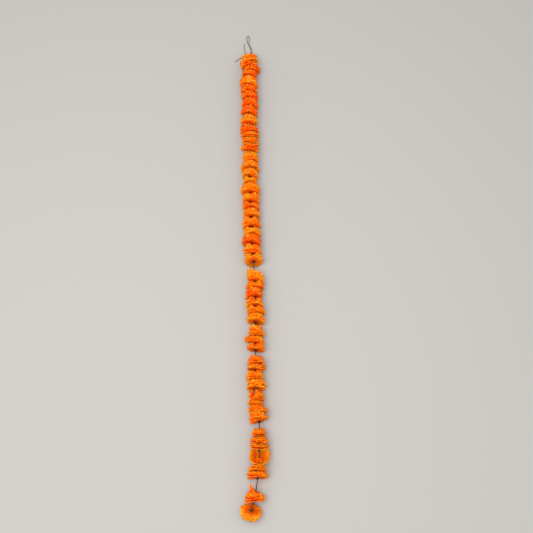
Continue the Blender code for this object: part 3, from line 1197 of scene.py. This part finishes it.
def faces_of_blooms() -> list[tuple[Face, Face]]:
    """The front and back plane of each flower. Close flowers share a tilt."""
    pairs = []
    ahead = FIRST_FRONT
    front = None
    for bloom, after in zip(BLOOMS, (*BLOOMS[1:], None)):
        if front is None:
            front = Face(string_at(ahead), bloom.yaw, bloom.lean)
        behind = ahead - bloom.depth
        ahead = behind - bloom.gap
        yaw = bloom.yaw
        lean = bloom.lean if bloom.rear is None else bloom.rear
        close = after is not None and bloom.gap < CLOSE_GAP
        if close:
            yaw = (yaw + after.yaw) / 2.0
            lean = (lean + after.lean) / 2.0
        pairs.append((front, Face(string_at(behind), yaw, lean)))
        front = Face(string_at(min(ahead, behind - FACE_GAP)), yaw, lean) if close else None
    back = Face(LAST_BACK, LAST_BLOOM.yaw, LAST_BLOOM.lean)
    last_front = Face(LAST_BACK + back.ahead * LAST_BLOOM.depth, back.yaw, back.lean)
    return pairs + [(last_front, back)]


def string_route(pairs: Sequence[tuple[Face, Face]]) -> list[Vector]:
    """The string's points in mm: through each flower, sagging a little where it is bare.

    Args:
        pairs: the front and back plane of each flower.

    Returns:
        The points from the loop's end to the foot.
    """
    route = []
    bare_from = None
    for front, back in pairs[:-1]:
        entry = front.centre - front.ahead * CALYX_LENGTH
        leave = back.centre - back.ahead * CALYX_LENGTH
        if bare_from is None:
            route.append(entry)
        elif (bare_from - entry).length > 2.0 * FACE_GAP:
            middle = (bare_from + entry) / 2.0
            middle.z -= GAP_SAG * min(1.0, (bare_from - entry).length / LONG_GAP) ** 2
            route.extend((bare_from, middle, entry))
        else:
            route.append((bare_from + entry) / 2.0)
        bare_from = leave
    front, back = pairs[-1]
    entry = back.centre - back.ahead * CALYX_LENGTH
    straight_out = entry - back.ahead * STRAIGHT_OUT
    end = front.centre - front.ahead * (CALYX_LENGTH + STRING_END_INSET)
    route.extend((bare_from, straight_out, entry, end))
    route[0] = pairs[0][0].centre
    return route


def smooth_route(route: Sequence[Sequence[float]], step: float) -> list[Vector]:
    """Evenly stepped points of a smooth curve through a route's own points.

    Args:
        route: the places that the curve passes, in mm.
        step: about how far apart the new points are, in mm.

    Returns:
        The new points in mm, none lower than a cord on the floor.
    """
    own = [Vector(place) for place in route]
    ends = [own[0] * 2.0 - own[1]] + own + [own[-1] * 2.0 - own[-2]]
    fine = []
    for i in range(1, len(ends) - 2):
        p0, p1, p2, p3 = ends[i - 1 : i + 3]
        for j in range(CURVE_PARTS):
            t = j / CURVE_PARTS
            fine.append(
                0.5
                * (
                    p1 * 2.0
                    + (p2 - p0) * t
                    + (p0 * 2.0 - p1 * 5.0 + p2 * 4.0 - p3) * t * t
                    + (p1 * 3.0 - p0 - p2 * 3.0 + p3) * t * t * t
                )
            )
    fine.append(own[-1])
    for place in fine:
        place.z = max(place.z, CORD_HEIGHT)
    return even_steps(fine, step)


def even_steps(line: Sequence[Vector], step: float) -> list[Vector]:
    """Points along a line, all about one step apart, with its two ends kept."""
    total = sum((b - a).length for a, b in zip(line, line[1:]))
    count = max(2, round(total / step))
    spacing = total / count
    points = [line[0].copy()]
    walked = 0.0
    for a, b in zip(line, line[1:]):
        span = (b - a).length
        while len(points) < count and walked + span >= spacing * len(points):
            points.append(a.lerp(b, (spacing * len(points) - walked) / span))
        walked += span
    points.append(line[-1].copy())
    return points


@dataclass(frozen=True)
class Yarn:
    """A plied yarn along a line: a lobed ring drawn along it while it turns. Sizes in mm."""

    name: str
    node: str
    slot: str
    diameter: float
    line: list[Vector]
    plies: int = 3
    lay_length: float = 7.0
    sides_per_ply: int = 4
    lobe: float = 0.13

    def frames(self) -> list[Matrix]:
        """A place and a turn for the ring at each point of the line, without sudden turns."""
        made = []
        up = Vector((0.0, 0.0, 1.0))
        walked = 0.0
        for i, place in enumerate(self.line):
            before = self.line[max(i - 1, 0)]
            after = self.line[min(i + 1, len(self.line) - 1)]
            ahead = (after - before).normalized()
            up = (up - ahead * up.dot(ahead)).normalized()
            across = up.cross(ahead)
            walked += (place - before).length
            axes = Matrix((across, up, ahead)).transposed().to_4x4()
            turn = Matrix.Rotation(FULL_TURN * walked / self.lay_length, 4, "Z")
            made.append(Matrix.Translation(place) @ axes @ turn)
        return made

    def build(self, material: bpy.types.Material) -> bpy.types.Object:
        """Draws the ring along the line and closes both ends.

        Args:
            material: the yarn's finish.

        Returns:
            The piece.
        """
        body = bmesh.new()
        ring_of = body.verts.layers.int.new("ring")
        side_of = body.verts.layers.int.new("side")
        wound = body.loops.layers.uv.new("wound")
        sides = self.plies * self.sides_per_ply
        radius = self.diameter / 2.0
        ring = bmesh.ops.create_circle(body, segments=sides, radius=radius)["verts"]
        for point in ring:
            angle = math.atan2(point.co.y, point.co.x)
            point[side_of] = round(angle / FULL_TURN * sides) % sides
            point.co *= 1.0 + self.lobe * math.cos(angle * self.plies)
        frames = self.frames()
        bmesh.ops.transform(body, matrix=frames[0], verts=ring)
        edges = list(body.edges)
        first = list(edges)
        for i in range(1, len(frames)):
            drawn = bmesh.ops.extrude_edge_only(body, edges=edges)["geom"]
            ring = [item for item in drawn if isinstance(item, bmesh.types.BMVert)]
            edges = [
                item
                for item in drawn
                if isinstance(item, bmesh.types.BMEdge) and all(v in ring for v in item.verts)
            ]
            bmesh.ops.transform(body, matrix=frames[i] @ frames[i - 1].inverted(), verts=ring)
            for point in ring:
                point[ring_of] = i
        bmesh.ops.holes_fill(body, edges=first + edges, sides=sides)
        bmesh.ops.recalc_face_normals(body, faces=body.faces)
        step = (self.line[1] - self.line[0]).length * MM
        for face in body.faces:
            around = [loop.vert[side_of] for loop in face.loops]
            wraps = max(around) - min(around) > sides // 2
            for loop, side in zip(face.loops, around):
                if wraps and side == 0:
                    side = sides
                loop[wound].uv = (loop.vert[ring_of] * step, side / sides)
        bmesh.ops.transform(body, matrix=Matrix.Scale(MM, 4), verts=body.verts)
        piece = new_piece(self.name, body, material)
        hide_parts(self.node)
        return piece


@dataclass(frozen=True)
class FreeCord:
    """A cord that lies free at the strand's top end, in mm."""

    node: str
    route: Sequence[Sequence[float]]
    far_end: str

    def build(self, material: bpy.types.Material) -> bpy.types.Object:
        """Builds the cord.

        Args:
            material: the cord's finish.

        Returns:
            The piece.
        """
        line = smooth_route(self.route, CORD_STEP)
        yarn = Yarn(f"{self.node}_cord", self.node, "loop_cord", CORD_DIAMETER, line, lay_length=6.0)
        piece = yarn.build(material)
        return piece


@dataclass(frozen=True)
class Strand:
    """The whole strand: flowers, calyx cups, string and free cords."""

    effects: SharedEffects

    def cords(self) -> list[bpy.types.Object]:
        """Builds the hanging loop and the two free ends."""
        cotton = CORD_FINISH.material(self.effects)
        cords = (
            FreeCord("hanging_loop", HANGING_LOOP, "object"),
            FreeCord("second_strand", SECOND_STRAND, "bare"),
            FreeCord("loose_end", LOOSE_END, "bare"),
        )
        return [cord.build(cotton) for cord in cords]

    def string(self) -> bpy.types.Object:
        """Builds the string through the flowers."""
        line = even_steps(string_route(faces_of_blooms()), STRING_STEP)
        yarn = Yarn("string_yarn_line", "string", "string_yarn", STRING_DIAMETER, line)
        return yarn.build(STRING_FINISH.material(self.effects))

    def flowers(self) -> list[bpy.types.Object]:
        """Builds every flower with its calyx cup."""
        cloths = {tone: finish.material(self.effects) for tone, finish in PETAL_FINISHES.items()}
        olive = CALYX_FINISH.material(self.effects)
        green = LAST_CALYX_FINISH.material(self.effects)
        noise.seed_set(RUFFLE_SEED)
        rounds = flat_rounds()
        pieces = []
        blooms = (*BLOOMS, LAST_BLOOM)
        for i, (bloom, (front, back)) in enumerate(zip(blooms, faces_of_blooms())):
            flower = Flower(i + 1, bloom, front, back)
            pieces.append(flower.petals(rounds, cloths[bloom.tone]))
            pieces.append(flower.calyx(green if bloom is LAST_BLOOM else olive))
        return pieces


@dataclass(frozen=True)
class Studio:
    """The pale floor, the soft light and the camera, in metres and degrees."""

    camera_place: tuple[float, float, float] = (0.037, -0.6255, 2.12)
    camera_tip: float = 16.7
    lens: float = 50.5
    floor_size: float = 12.0
    floor_colour: Colour = (0.372, 0.362, 0.342, 1.0)
    sky_strength: float = 1.02
    lamp_place: tuple[float, float, float] = (-0.5, -0.45, 2.6)
    lamp_aim: tuple[float, float, float] = (0.0, -0.2, 0.0)
    lamp_size: float = 2.4
    lamp_power: float = 62.0

    def camera(self) -> None:
        """Makes the camera, which looks down on the strand from over its foot."""
        data = bpy.data.cameras.new("camera")
        data.lens = self.lens
        data.sensor_width = 36.0
        data.clip_end = 50.0
        camera = bpy.data.objects.new("camera", data)
        camera.location = self.camera_place
        camera.rotation_euler = (math.radians(self.camera_tip), 0.0, 0.0)
        bpy.context.scene.collection.objects.link(camera)
        bpy.context.scene.camera = camera

    def floor(self) -> None:
        """Makes the plain floor, which isn't part of the strand."""
        body = bmesh.new()
        bmesh.ops.create_grid(body, x_segments=1, y_segments=1, size=self.floor_size / 2.0)
        material, wiring, shader = new_material("floor_paper")
        looks = {"Base Color": self.floor_colour, "Roughness": 0.9, "Specular IOR Level": 0.1}
        wiring.feeds(shader, looks)
        floor = new_object("floor", body, material)

    def light(self) -> None:
        """Makes an even sky and one wide lamp overhead."""
        scene = bpy.context.scene
        scene.world = bpy.data.worlds.new("studio")
        scene.world.use_nodes = True
        sky = scene.world.node_tree.nodes["Background"]
        sky.inputs["Color"].default_value = (1.0, 1.0, 1.0, 1.0)
        sky.inputs["Strength"].default_value = self.sky_strength
        data = bpy.data.lights.new("lamp", "AREA")
        data.shape = "DISK"
        data.size = self.lamp_size
        data.energy = self.lamp_power
        lamp = bpy.data.objects.new("lamp", data)
        lamp.location = self.lamp_place
        aim = Vector(self.lamp_aim) - lamp.location
        lamp.rotation_euler = aim.to_track_quat("-Z", "Y").to_euler()
        scene.collection.objects.link(lamp)
        scene.view_settings.view_transform = "Standard"


def main() -> None:
    """Builds the studio and the strand, and writes how large the model is."""
    logging.basicConfig(level=logging.INFO, format="%(message)s")
    studio = Studio()
    studio.camera()
    studio.floor()
    studio.light()
    effects = SharedEffects(weave_group(), drift_group(), pleat_group(), twist_group())
    strand = Strand(effects)
    for piece in (*strand.cords(), strand.string(), *strand.flowers()):
        log.info("%s: %d points", piece.name, len(piece.data.vertices))


if __name__ == "__main__":
    main()
